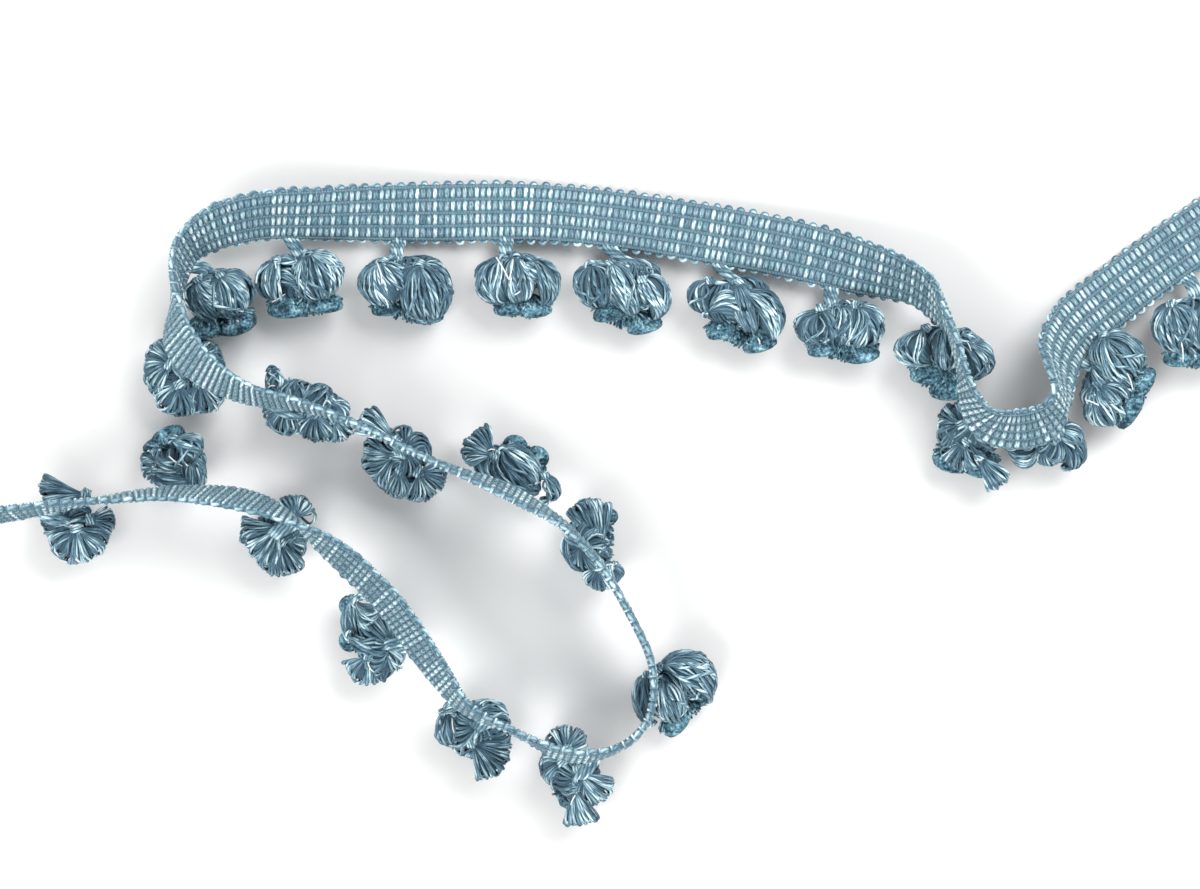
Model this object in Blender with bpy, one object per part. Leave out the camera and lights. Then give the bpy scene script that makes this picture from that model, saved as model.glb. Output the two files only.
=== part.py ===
"""Pompom fringe trim: a woven braid heading lying in loose folds, with looped yarn pompoms.

The trim rests on the plane z = 0 under its middle. Table values are in millimetres and degrees.
Travel along the heading runs from its right end to its left end.
"""

from collections import namedtuple

import bmesh
import bpy
import numpy as np

MM = 0.001

HEADING_WIDTH = 15.5
HEADING_THICKNESS = 2.0
SECTION_SPACING = 2.9      # between two cross-sections of the heading
SMOOTHING_STEP = 1.0       # between two samples of the folds before they are rounded off
SMOOTHING_PASSES = 10

POMPOM_SIDES = 14
POMPOM_LOBES = 4
LOBE_DEPTH = 0.09          # share of the radius that a lobe stands out
FLAT_SPOT_DEPTH = 1.0      # how much of a pompom's underside is pressed flat

HANGER_WIDTH = 3.2
HANGER_THICKNESS = 1.7
HANGER_SIDES = 6
HANGER_SECTIONS = 5
HANGER_REACH = 0.3         # length of the hanger's end tangents, as a share of its span
GAP = 0.4                  # clearance between neighbouring pieces

# The heading's middle line. A lean of 0 lies face up, 90 stands on edge with the pompoms below,
# a negative one raises the pompom edge, and past 90 the back starts to show.
Fold = namedtuple("Fold", "x y height lean")
FOLDS = (
    Fold(162.5, 59.5, 3.2, -15),
    Fold(146.5, 48.5, 3.2, -14),
    Fold(132.5, 38.0, 3.8, -10),
    Fold(124.0, 31.5, 7.5, 8),
    Fold(118.0, 23.5, 14.0, 40),
    Fold(117.0, 16.5, 21.5, 72),
    Fold(117.5, 11.5, 25.0, 72),
    Fold(115.5, 7.0, 25.5, 56),
    Fold(105.5, 3.5, 25.0, 52),
    Fold(98.0, 5.5, 25.5, 60),
    Fold(93.5, 13.0, 26.5, 80),
    Fold(91.5, 22.5, 25.0, 88),
    Fold(88.0, 33.0, 18.0, 80),
    Fold(84.0, 39.0, 13.5, 66),
    Fold(64.5, 46.5, 7.8, 25),
    Fold(25.0, 55.0, 4.2, -6),
    Fold(-15.5, 60.0, 3.4, -10),
    Fold(-44.5, 60.0, 4.6, 10),
    Fold(-72.5, 59.5, 9.0, 34),
    Fold(-90.0, 58.5, 12.6, 43),
    Fold(-98.5, 56.0, 13.8, 48),
    Fold(-105.0, 52.0, 15.5, 64),
    Fold(-108.5, 40.5, 20.0, 86),
    Fold(-106.0, 28.0, 25.5, 107),
    Fold(-90.5, 14.5, 26.5, 102),
    Fold(-76.0, 10.5, 27.0, 93),
    Fold(-40.5, -5.0, 26.5, 90),
    Fold(-22.5, -12.5, 26.5, 80),
    Fold(-8.5, -21.0, 26.5, 88),
    Fold(8.0, -44.0, 24.5, 90),
    Fold(13.5, -57.0, 23.5, 90),
    Fold(11.5, -72.0, 24.0, 86),
    Fold(4.5, -77.5, 25.5, 85),
    Fold(-4.0, -79.5, 26.5, 78),
    Fold(-24.0, -72.0, 26.5, 85),
    Fold(-33.5, -67.5, 26.5, 78),
    Fold(-42.5, -57.5, 26.0, 76),
    Fold(-55.5, -39.5, 26.0, 72),
    Fold(-70.0, -26.0, 26.0, 76),
    Fold(-82.5, -17.0, 26.5, 101),
    Fold(-110.0, -12.5, 22.5, 99),
    Fold(-125.5, -14.0, 24.0, 92),
    Fold(-146.5, -17.0, 26.5, 80),
    Fold(-159.0, -19.0, 25.5, 77),
)

# Each pompom: how far along the heading it is sewn, where the middle of its body lies, the way
# it points away from the heading, how steeply, its turn about its own axis, and its size.
Pompom = namedtuple("Pompom", "along x y azimuth tilt spin width depth drop")
POMPOMS = (
    Pompom(18, 154.0, 29.0, -88, 5, 6, 23.5, 18.0, 18.5),
    Pompom(55.5, 134.0, 15.5, -30, 2, -8, 25.0, 17.0, 17.5),
    Pompom(82.5, 117.5, 1.0, -85, 78, 0, 21.0, 17.5, 16.5),
    Pompom(105, 95.5, 0.0, -100, 32, 0, 21.0, 16.0, 18.0),
    Pompom(139, 90.0, 21.5, -86, 5, 4, 26.0, 15.0, 17.5),
    Pompom(165, 61.0, 27.0, -80, 6, -5, 24.0, 18.0, 18.5),
    Pompom(195.5, 35.5, 34.0, -75, 5, 8, 26.0, 18.0, 19.0),
    Pompom(224.5, 6.5, 38.5, -76, 5, -6, 27.0, 18.0, 19.0),
    Pompom(250.5, -22.0, 41.0, -86, 5, 3, 23.5, 18.0, 17.5),
    Pompom(279, -50.0, 40.0, -84, 5, -10, 25.0, 18.0, 17.5),
    Pompom(305, -77.0, 39.3, -88, 6, 7, 23.0, 18.0, 17.5),
    Pompom(336, -98.5, 36.3, -72, 12, -5, 20.0, 17.0, 18.5),
    Pompom(367, -107.7, 17.6, -70, 82, 0, 22.0, 20.0, 16.5),
    Pompom(392.5, -75.0, 12.2, 75, 42, 0, 25.0, 16.0, 17.0),
    Pompom(427.5, -51.0, -2.5, -139, 80, 0, 25.0, 19.0, 16.5),
    Pompom(451.5, -23.0, -5.5, 60, 42, 0, 25.5, 15.0, 17.0),
    Pompom(473, -2.0, -25.5, 20, 60, 0, 25.5, 15.0, 16.5),
    Pompom(515.5, 20.5, -64.0, -42, 20, 0, 23.0, 18.0, 17.5),
    Pompom(547.5, -7.0, -86.0, -165, 68, 0, 25.5, 17.0, 16.5),
    Pompom(577, -32.5, -73.5, -130, 70, 0, 23.0, 19.0, 16.5),
    Pompom(605, -59.0, -51.0, 178, 45, 0, 25.5, 16.0, 17.0),
    Pompom(648, -84.5, -23.5, -110, 80, 0, 20.0, 20.0, 16.5),
    Pompom(677.5, -110.5, -3.0, 115, 12, 0, 20.0, 17.0, 17.0),
    Pompom(715, -137.0, -20.0, 37, 78, 0, 24.0, 17.0, 16.5),
)

# A pompom's outline from its upper tie to its brush end, as shares of its drop and half width,
# and how much of the lobes' depth shows there.
Ring = namedtuple("Ring", "drop reach lobe")
RINGS = (
    Ring(0.00, 0.16, 0.0),
    Ring(0.06, 0.43, 0.5),
    Ring(0.17, 0.71, 1.0),
    Ring(0.32, 0.89, 1.0),
    Ring(0.47, 0.92, 1.0),
    Ring(0.60, 0.81, 1.0),
    Ring(0.71, 0.61, 0.5),
    Ring(0.83, 0.66, 0.5),
    Ring(1.00, 0.69, 0.5),
)

HEADING_FINISH = ((0.22, 0.37, 0.43), 0.85)
YARN_FINISH = ((0.14, 0.27, 0.33), 0.9)


def clear_scene():
    for thing in list(bpy.data.objects):
        bpy.data.objects.remove(thing, do_unlink=True)


def matte_material(name, colour, roughness):
    material = bpy.data.materials.new(name)
    material.use_nodes = True
    shader = material.node_tree.nodes["Principled BSDF"]
    shader.inputs["Base Color"].default_value = (*colour, 1.0)
    shader.inputs["Roughness"].default_value = roughness
    shader.inputs["Metallic"].default_value = 0.0
    return material


def unit(vectors):
    return vectors / np.linalg.norm(vectors, axis=-1, keepdims=True)


def distances(points):
    """Distance along a line of points, from its first point to each of them."""
    steps = np.linalg.norm(np.diff(points[:, :3], axis=0), axis=1)
    return np.concatenate([[0.0], np.cumsum(steps)])


def curve_through(rows, spacing):
    """Cubic curve through the rows, whose slopes weigh the chords on both sides of a row."""
    at = distances(rows)
    chords = np.diff(rows, axis=0) / np.diff(at)[:, None]
    share = (at[2:] - at[1:-1]) / (at[2:] - at[:-2])
    inner = chords[:-1] * share[:, None] + chords[1:] * (1 - share[:, None])
    slopes = np.vstack([chords[:1], inner, chords[-1:]])
    places = np.arange(0.0, at[-1], spacing)
    k = np.clip(np.searchsorted(at, places, side="right") - 1, 0, len(rows) - 2)
    span = (at[k + 1] - at[k])[:, None]
    t = (places - at[k])[:, None] / span
    start = (2 * t**3 - 3 * t**2 + 1) * rows[k] + (t**3 - 2 * t**2 + t) * span * slopes[k]
    end = (3 * t**2 - 2 * t**3) * rows[k + 1] + (t**3 - t**2) * span * slopes[k + 1]
    return start + end


def rounded(samples, passes):
    """Soften a line of samples: each inner one moves halfway to the mean of its neighbours."""
    samples = samples.copy()
    for _ in range(passes):
        samples[1:-1] = samples[1:-1] / 2 + (samples[:-2] + samples[2:]) / 4
    return samples


class Heading:
    """The braid's middle line, with its directions at any distance along it."""

    def __init__(self):
        rows = np.array(FOLDS, dtype=float)
        self.samples = rounded(curve_through(rows, SMOOTHING_STEP), SMOOTHING_PASSES)
        self.at = distances(self.samples)
        self.length = self.at[-1]
        self.travel = unit(np.gradient(self.samples[:, :3], self.at, axis=0))

    def directions(self, places):
        """Middle points, with the way to the pompom edge and the way out of the front face."""
        middle = self.look_up(self.samples[:, :3], places)
        lean = np.radians(np.interp(places, self.at, self.samples[:, 3]))[:, None]
        travel = unit(self.look_up(self.travel, places))
        left = unit(np.stack([-travel[:, 1], travel[:, 0], np.zeros(len(places))], axis=1))
        across = np.cos(lean) * left - np.sin(lean) * np.array([0.0, 0.0, 1.0])
        across = unit(across - (across * travel).sum(axis=1, keepdims=True) * travel)
        return middle, across, np.cross(travel, across)

    def look_up(self, values, places):
        return np.stack([np.interp(places, self.at, column) for column in values.T], axis=1)


def tube(rings, name):
    """Closed mesh through equal rings of points, capped at both ends, with its faces outward."""
    count, sides, _ = rings.shape
    mesh = bmesh.new()
    loops = [[mesh.verts.new(point * MM) for point in ring] for ring in rings]
    for near, far in zip(loops, loops[1:]):
        for i in range(sides):
            j = (i + 1) % sides
            mesh.faces.new((near[i], near[j], far[j], far[i]))
    mesh.faces.new(loops[0])
    mesh.faces.new(loops[-1])
    bmesh.ops.recalc_face_normals(mesh, faces=mesh.faces)
    data = bpy.data.meshes.new(name)
    mesh.to_mesh(data)
    mesh.free()
    return data


def heading_rings(heading):
    sections = round(heading.length / SECTION_SPACING) + 1
    places = np.linspace(0.0, heading.length, sections)
    middle, across, front = heading.directions(places)
    half_width = across * HEADING_WIDTH / 2
    half_thickness = front * HEADING_THICKNESS / 2
    corners = ((-1, -1), (1, -1), (1, 1), (-1, 1))
    return np.stack([middle + a * half_width + b * half_thickness for a, b in corners], axis=1)


def pompom_axes(row):
    """Axis from the neck to the brush end, with the two directions across the body."""
    azimuth, tilt, spin = np.radians([row.azimuth, row.tilt, row.spin])
    level = np.array([np.cos(azimuth), np.sin(azimuth), 0.0])
    axis = np.cos(tilt) * level - np.sin(tilt) * np.array([0.0, 0.0, 1.0])
    side = np.array([-np.sin(azimuth), np.cos(azimuth), 0.0])
    upper = np.cross(axis, side)
    wide = np.cos(spin) * side + np.sin(spin) * upper
    return axis, wide, np.cross(axis, wide)


def pompom_rings(row):
    """Lobed body of revolution, set down so that its underside is pressed flat at z = 0."""
    axis, wide, deep = pompom_axes(row)
    rings = np.array(RINGS)[:, :, None]
    drop, reach, lobe = rings[:, 0], rings[:, 1], rings[:, 2]
    around = np.arange(POMPOM_SIDES) * 2 * np.pi / POMPOM_SIDES
    radius = reach * (1 + LOBE_DEPTH * lobe * np.cos(POMPOM_LOBES * around))
    across = (radius * np.cos(around) * row.width / 2)[:, :, None] * wide
    through = (radius * np.sin(around) * row.depth / 2)[:, :, None] * deep
    body = ((drop - 0.5) * row.drop)[:, :, None] * axis + across + through
    rise = -body[:, :, 2].min() - FLAT_SPOT_DEPTH
    middle = np.array([row.x, row.y, rise])
    body += middle
    body[:, :, 2] = np.maximum(body[:, :, 2], 0.0)
    return body, middle - axis * row.drop / 2, axis


def hanger_rings(heading, row, tie, axis):
    """Flat oval neck that leaves the pompom edge squarely and enters the pompom along its axis."""
    middle, across, _ = (values[0] for values in heading.directions(np.array([row.along])))
    start = middle + across * (HEADING_WIDTH / 2 + GAP)
    end = tie - axis * GAP
    reach = np.linalg.norm(end - start) * HANGER_REACH
    t = np.linspace(0.0, 1.0, HANGER_SECTIONS)[:, None]
    handles = (start, start + across * reach, end - axis * reach, end)
    weights = ((1 - t) ** 3, 3 * t * (1 - t) ** 2, 3 * t**2 * (1 - t), t**3)
    line = sum(weight * handle for weight, handle in zip(weights, handles))
    along = unit(np.gradient(line, axis=0))
    along[0] = across
    along[-1] = axis
    travel = heading.look_up(heading.travel, np.array([row.along]))
    broad = unit(travel - (along * travel).sum(axis=1, keepdims=True) * along)
    narrow = np.cross(along, broad)
    around = np.arange(HANGER_SIDES) * 2 * np.pi / HANGER_SIDES
    wide = np.cos(around)[None, :, None] * broad[:, None] * HANGER_WIDTH / 2
    thick = np.sin(around)[None, :, None] * narrow[:, None] * HANGER_THICKNESS / 2
    return line[:, None] + wide + thick


def place(name, rings, origin, finish):
    """One object per piece, with its own material and its origin where it is fastened."""
    mesh = tube(rings - origin, name)
    thing = bpy.data.objects.new(name, mesh)
    thing.location = origin * MM
    bpy.context.scene.collection.objects.link(thing)
    mesh.materials.append(matte_material(name + "_finish", *finish))
    mesh.shade_smooth()
    return thing


def main():
    clear_scene()
    heading = Heading()
    pieces = {"heading": (heading_rings(heading), np.zeros(3), HEADING_FINISH)}
    for number, row in enumerate(POMPOMS, start=1):
        body, tie, axis = pompom_rings(row)
        neck = hanger_rings(heading, row, tie, axis)
        pieces[f"hanger_{number:02d}"] = (neck, neck[0].mean(axis=0), YARN_FINISH)
        pieces[f"pompom_{number:02d}"] = (body, tie, YARN_FINISH)
    points = np.vstack([rings.reshape(-1, 3) for rings, _, _ in pieces.values()])
    centre = (points.min(axis=0) + points.max(axis=0)) / 2
    centre[2] = 0.0
    for name, (rings, origin, finish) in pieces.items():
        place(name, rings - centre, origin - centre, finish)


main()
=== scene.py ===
import bpy
import numpy as np
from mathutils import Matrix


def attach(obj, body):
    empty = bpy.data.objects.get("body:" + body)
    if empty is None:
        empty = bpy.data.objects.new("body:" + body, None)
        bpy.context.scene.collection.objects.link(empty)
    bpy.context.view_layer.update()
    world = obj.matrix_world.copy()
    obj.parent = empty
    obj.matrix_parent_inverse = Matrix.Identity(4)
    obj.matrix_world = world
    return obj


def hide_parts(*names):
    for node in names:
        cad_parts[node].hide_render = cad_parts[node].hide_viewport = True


# A pompom fringe trim: a woven braid in loose folds, with tied pompoms of looped yarn.
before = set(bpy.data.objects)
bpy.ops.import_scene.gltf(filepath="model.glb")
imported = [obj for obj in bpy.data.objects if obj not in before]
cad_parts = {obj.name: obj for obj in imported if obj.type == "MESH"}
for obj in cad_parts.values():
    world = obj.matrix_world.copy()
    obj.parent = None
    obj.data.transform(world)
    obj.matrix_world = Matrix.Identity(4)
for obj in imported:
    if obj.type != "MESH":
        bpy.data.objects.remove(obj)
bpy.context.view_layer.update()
mm = 0.001
print("frame loaded:", len(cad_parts), "nodes")

# camera, light and floor: the view is straight down through a long lens
view = {
    "height": 1.2,               # camera above the floor, m
    "width": 0.312,              # of the floor in view, m
    "middle": (3.52, -15.13),    # middle of the folded trim in the tables' places, mm
    "sensor": 36.0,              # mm
    "clip": (0.05, 60),          # m
}
studio = {
    "softboxes": {               # place, size (m), power (W)
        "rearBox": ((0.66, 0.78, 1.35), (1.00, 0.80), 19.5),
        "frontBox": ((-0.62, -0.80, 1.35), (0.90, 0.80), 16),
    },
    "roomColour": (1.0, 0.99, 0.98, 1), "roomStrength": 0.88,
    "floorReach": 15,            # m from the middle to each side
    "floorShades": ((0.725, 0.725, 0.725, 1), (0.745, 0.745, 0.745, 1)),
}
scene = bpy.context.scene
lens = bpy.data.cameras.new("camera")
lens.sensor_width = view["sensor"]
lens.lens = view["sensor"] * view["height"] / view["width"]
lens.clip_start, lens.clip_end = view["clip"]
camera = bpy.data.objects.new("camera", lens)
camera.location = (-view["middle"][0] * mm, -view["middle"][1] * mm, view["height"])
scene.collection.objects.link(camera)
scene.camera = camera
scene.view_settings.view_transform = "Standard"
scene.view_settings.look = "None"

world = bpy.data.worlds.new("studio")
scene.world = world
world.use_nodes = True
world.node_tree.nodes["Background"].inputs["Color"].default_value = studio["roomColour"]
world.node_tree.nodes["Background"].inputs["Strength"].default_value = studio["roomStrength"]


def addSoftbox(name, place, size, power):
    # a lit rectangle that faces the origin: it tips by atan2(level distance, height), and turns
    # about the upright by its place's bearing
    light = bpy.data.lights.new(name, "AREA")
    light.shape = "RECTANGLE"
    light.size, light.size_y = size
    light.energy = power
    thing = bpy.data.objects.new(name, light)
    thing.location = place
    x, y, z = place
    thing.rotation_euler = (np.arctan2(np.hypot(x, y), z), 0, np.arctan2(-x, y) + np.pi)
    thing.visible_camera = False
    scene.collection.objects.link(thing)


for boxName, boxSettings in studio["softboxes"].items():
    addSoftbox(boxName, *boxSettings)


class Link:
    # wraps a socket; operators on it add Math nodes, and made() adds any other node
    def __init__(self, tree, socket):
        self.tree = tree
        self.socket = socket

    def made(self, kind, settings=None, out=0, **given):
        # given values go to the sockets i0, i1, ... or to the socket of that name
        node = self.tree.nodes.new(kind)
        for key, value in (settings or {}).items():
            setattr(node, key, value)
        for key, value in given.items():
            place = int(key[1:]) if key[0] == "i" and key[1:].isdigit() else key
            if isinstance(value, Link):
                self.tree.links.new(value.socket, node.inputs[place])
            else:
                node.inputs[place].default_value = value
        return Link(self.tree, node.outputs[out])

    def maths(self, operation, *others, clamp=False):
        # a Math node on this value and the others
        values = {f"i{k + 1}": other for k, other in enumerate(others)}
        settings = {"operation": operation, "use_clamp": clamp}
        return self.made("ShaderNodeMath", settings, i0=self, **values)

    # each operator adds one Math node
    def __add__(self, other):
        return self.maths("ADD", other)

    def __sub__(self, other):
        return self.maths("SUBTRACT", other)

    def __rsub__(self, other):
        return self.made("ShaderNodeMath", {"operation": "SUBTRACT"}, i0=other, i1=self)

    def __mul__(self, other):
        return self.maths("MULTIPLY", other)

    def __truediv__(self, other):
        return self.maths("DIVIDE", other)

    def __abs__(self):
        return self.maths("ABSOLUTE")

    __radd__, __rmul__ = __add__, __mul__

    def sine(self):
        return self.maths("SINE")

    def cosine(self):
        return self.maths("COSINE")

    def clamped(self):
        # held between 0 and 1
        return self.maths("ADD", 0.0, clamp=True)

    def mixed(self, low, high):
        # colour between low and high, by this value
        settings = {"data_type": "RGBA", "clamp_factor": True}
        return self.made("ShaderNodeMix", settings, out=2, i0=self, i6=low, i7=high)

    def parts(self, count):
        # the first numbers of this vector
        return [self.made("ShaderNodeSeparateXYZ", out=k, Vector=self) for k in range(count)]

    def noise(self, scale, detail=2.0, dimensions="3D"):
        # smooth noise about 0.5 at this place, with scale cells to its unit
        settings = {"noise_dimensions": dimensions}
        return self.made("ShaderNodeTexNoise", settings, Vector=self, Scale=scale, Detail=detail)

    def feeds(self, shader, socketName):
        # joins this value to a socket of the shader
        self.tree.links.new(self.socket, shader.inputs[socketName])

    def bumps(self, shader, strength, depth):
        # this height raises the surface by depth (m)
        bump = self.made("ShaderNodeBump", Strength=strength, Distance=depth, Height=self)
        bump.feeds(shader, "Normal")


def startMaterial(name, roughness, sheen=0.0, specular=0.3):
    # a matt shader with its constant settings, and the place on the piece as the first link
    material = bpy.data.materials.new(name)
    material.use_nodes = True
    shader = material.node_tree.nodes["Principled BSDF"]
    settings = {"Roughness": roughness, "Sheen Weight": sheen, "Sheen Roughness": 0.5,
                "Sheen Tint": dye["sheen"], "Specular IOR Level": specular}
    for socketName, value in settings.items():
        shader.inputs[socketName].default_value = value
    place = Link(material.node_tree, None).made("ShaderNodeTexCoord", out=3)
    return material, shader, place


def readTones(place):
    # the three numbers of the piece's own tone attribute; the third is painted shade
    return place.made("ShaderNodeAttribute", {"attribute_name": "tone"}, out=1).parts(3)


def readUvs(place, layer):
    # u and v of the piece's own UV map
    return place.made("ShaderNodeUVMap", {"uv_map": layer}).parts(2)


dye = {                          # the yarn's shades, from its darkest ply to its lightest
    "deep": (0.017, 0.045, 0.075, 1),
    "slate": (0.094, 0.188, 0.252, 1),
    "sky": (0.285, 0.446, 0.512, 1),
    "pale": (0.700, 0.880, 0.930, 1),
    "pileDeep": (0.016, 0.040, 0.058, 1),      # of the cut ends
    "pileSlate": (0.105, 0.235, 0.305, 1),
    "pilePale": (0.42, 0.66, 0.74, 1),
    "threadDull": (0.62, 0.64, 0.66, 1),
    "threadBright": (0.95, 0.96, 0.97, 1),
    "coolCast": (1.19, 1.19, 1.12, 1),         # what the braid's patches multiply its colour by
    "warmCast": (1.42, 1.16, 1.15, 1),
    "sheen": (0.62, 0.80, 0.88, 1),
}
grain = {                        # cells of noise to a metre
    "fuzz": 1500.0, "yarnPatch": 320.0, "braidPatch": 420.0, "pileFleck": 1300.0,
    "pilePatch": 330.0, "threadFleck": 900.0, "floorCloud": 3.0,
}


def dyed(tone):
    # deep - slate - sky - pale, at tones 0, 0.35, 0.65 and 1
    low = (tone / 0.35).clamped().mixed(dye["deep"], dye["slate"])
    middle = ((tone - 0.35) / 0.3).clamped().mixed(low, dye["sky"])
    return ((tone - 0.65) / 0.35).clamped().mixed(middle, dye["pale"])


yarnLook = {
    "plyEdge": 2.5,              # how sharply one ply ends beside the other
    "fuzz": 0.4, "patch": 0.4,   # how far noise moves the tone
    "grooveShade": 0.36, "crownLight": 0.84,             # painted shade: the tone in the groove between the plies, and the light a ply's crown adds
    "bump": 0.7, "bumpDepth": 0.25 * mm,
}


def yarnMaterial():
    # two twisted plies: angle = 2 pi (v + u), tone = ply A where cos(angle) > 0 and ply B elsewhere
    look = yarnLook
    material, shader, place = startMaterial("yarnTwist", 0.62, sheen=0.15, specular=0.22)
    plyA, plyB, shade = readTones(place)
    u, v = readUvs(place, "strand")
    turn = (u + v) * (2 * np.pi)
    ply = (turn.cosine() * look["plyEdge"] + 0.5).clamped()
    fuzz = place.noise(grain["fuzz"])
    patch = place.noise(grain["yarnPatch"], detail=1.0)
    crown = abs(turn.cosine())
    tone = plyA * ply + plyB * (1 - ply)
    tone = tone + (fuzz - 0.5) * look["fuzz"] + (patch - 0.5) * look["patch"]
    # painted shade: darker in the groove between the plies, and by the piece's shade number
    dyed(tone * (crown * look["crownLight"] + look["grooveShade"]) * shade).feeds(shader, "Base Color")
    (crown + fuzz * 0.5).bumps(shader, look["bump"], look["bumpDepth"])
    return material


weaveLook = {
    "streaksAlong": 9.0, "streaksAcross": 2.6,       # to a rib and to a band
    "streak": 0.85, "fuzz": 0.4, "warpFuzz": 0.35,   # how far noise moves the tone
    "lineHalf": 0.11, "lineEdge": 30.0,              # warp line: half its width in bands, sharpness
    "chain": 0.055,                                  # where each of its two chains lies, in bands
    "warpTone": 0.32, "warpGain": 0.42,
    "bump": 0.8, "bumpDepth": 0.3 * mm,
}


def braidMaterial():
    # u counts ribs along the braid, v counts bands across it; a warp line lies about each whole v.
    # weft tone = rib's tone * its sine * the band's crown, warp tone = dashes on two chains
    look = weaveLook
    material, shader, place = startMaterial("braidWeave", 0.68, sheen=0.15, specular=0.25)
    cell, onFront, shade = readTones(place)
    u, v = readUvs(place, "weave")
    fuzz = place.noise(grain["fuzz"])
    patch = place.noise(grain["braidPatch"], detail=1.0)
    lengthwise, across = u * look["streaksAlong"], v * look["streaksAcross"]
    streak = place.made("ShaderNodeCombineXYZ", X=lengthwise, Y=across).noise(1.0, dimensions="2D")
    ply = ((u * 2.0 + v * 1.2) * (2 * np.pi)).cosine() * 0.5 + 0.5
    wave = abs((u * np.pi + (v * 2 * np.pi).sine() * 0.12).sine())
    plain = 1 - onFront          # on the back the pale ribs are thin lines
    narrow = (wave * (plain * 2.4 + 2.4) - (plain * 2.6 + 1.15) + (streak - 0.5) * 2.2).clamped()
    # painted shade: the rib's sine and the band's crown darken the weft between ribs and beside
    # warp lines
    rib = (wave * 1.7 - 0.15).clamped()
    fromLine = abs((v + 0.5).maths("FRACT") - 0.5)          # 0 on a warp line, 0.5 mid band
    onLine = ((look["lineHalf"] - fromLine) * look["lineEdge"]).clamped() * onFront
    chains = (1 - abs(fromLine - look["chain"]) * 22.0).clamped()
    dashes = ((u * 4 * np.pi + (v * np.pi).sine() * 2.0).cosine() * 1.2 + 0.75).clamped()
    crown = 1 - abs(fromLine - 0.5) * abs(fromLine - 0.5) * 2.6 * onFront
    weft = (0.5 + (cell - 0.5) * narrow) * crown * (ply * 0.2 + 0.86) * (rib * 0.5 + 0.5)
    weft = weft + (streak - 0.5) * look["streak"] + (fuzz - 0.5) * look["fuzz"]
    warp = chains * dashes * look["warpGain"] + look["warpTone"] + (fuzz - 0.5) * look["warpFuzz"]
    # times the piece's shade number: painted shade in the grooves between the ribs
    colour = dyed((weft * (1 - onLine) + warp * onLine) * shade)
    cast = ((patch - 0.35) * 2.5).clamped().mixed(dye["coolCast"], dye["warmCast"])
    colour = colour.made("ShaderNodeVectorMath", {"operation": "MULTIPLY"}, i0=colour, i1=cast)
    colour.feeds(shader, "Base Color")
    height = (ply * 0.4 + streak * 0.8) * (1 - onLine) + chains * dashes * onLine
    height.bumps(shader, look["bump"], look["bumpDepth"])
    return material


pileLook = {
    "tone": 0.7, "fleck": 2.4, "patch": 1.6,   # share of the strand's tone, how far noise moves it
    "slateGain": 2.2, "paleFrom": 0.45, "paleGain": 2.0,
    "bump": 0.8, "bumpDepth": 0.4 * mm,
}


def pileMaterial():
    # cut, untwisted yarn: deep teal with lighter flecks, each strand lighter or darker by its tone
    look = pileLook
    material, shader, place = startMaterial("cutPile", 0.85, sheen=0.1, specular=0.15)
    strand, _, shade = readTones(place)
    fleck = place.noise(grain["pileFleck"], detail=3.0)
    patch = place.noise(grain["pilePatch"], detail=1.0)
    tone = strand * look["tone"] + (fleck - 0.5) * look["fleck"] + (patch - 0.5) * look["patch"]
    # painted shade from the strand's shade number
    tone = tone * shade
    low = (tone * look["slateGain"]).clamped().mixed(dye["pileDeep"], dye["pileSlate"])
    pale = ((tone - look["paleFrom"]) * look["paleGain"]).clamped()
    pale.mixed(low, dye["pilePale"]).feeds(shader, "Base Color")
    fleck.bumps(shader, look["bump"], look["bumpDepth"])
    return material


def threadMaterial():
    # white sewing thread, a little duller in places
    material, shader, place = startMaterial("tieThread", 0.35, specular=0.6)
    fleck = place.noise(grain["threadFleck"])
    fleck.mixed(dye["threadDull"], dye["threadBright"]).feeds(shader, "Base Color")
    return material


def floorMaterial():
    # plain pale floor, its shade drifting slowly between two near ones
    material, shader, place = startMaterial("paleFloor", 0.85, specular=0.1)
    place.noise(grain["floorCloud"]).mixed(*studio["floorShades"]).feeds(shader, "Base Color")
    return material


yarn, weave, thread, pile = yarnMaterial(), braidMaterial(), threadMaterial(), pileMaterial()
reach = studio["floorReach"]
floorMesh = bpy.data.meshes.new("floor")
floorCorners = [(-reach, -reach, 0), (reach, -reach, 0), (reach, reach, 0), (-reach, reach, 0)]
floorMesh.from_pydata(floorCorners, [], [(0, 1, 2, 3)])
floorMesh.materials.append(floorMaterial())
floor = bpy.data.objects.new("floor", floorMesh)
scene.collection.objects.link(floor)
print("camera, lights, floor and materials ready")


def unit(vectors):
    # vectors over their lengths
    return vectors / np.linalg.norm(vectors, axis=-1, keepdims=True)


def dot(a, b):
    # sum of products along the last axis
    return (a * b).sum(axis=-1, keepdims=True)


def raised(pair, amount):
    # the pair's base, plus its gain times the amount
    base, gain = pair
    return base + gain * amount


def cornerUvs(u0, u1, v0, v1):
    # a face's corners in the order of its points: (u0, v0), (u0, v1), (u1, v1), (u1, v0)
    u0, u1, v0, v1 = np.broadcast_arrays(u0, u1, v0, v1)
    return np.stack([u0, v0, u0, v1, u1, v1, u1, v0], axis=-1).reshape(-1, 2)


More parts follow.
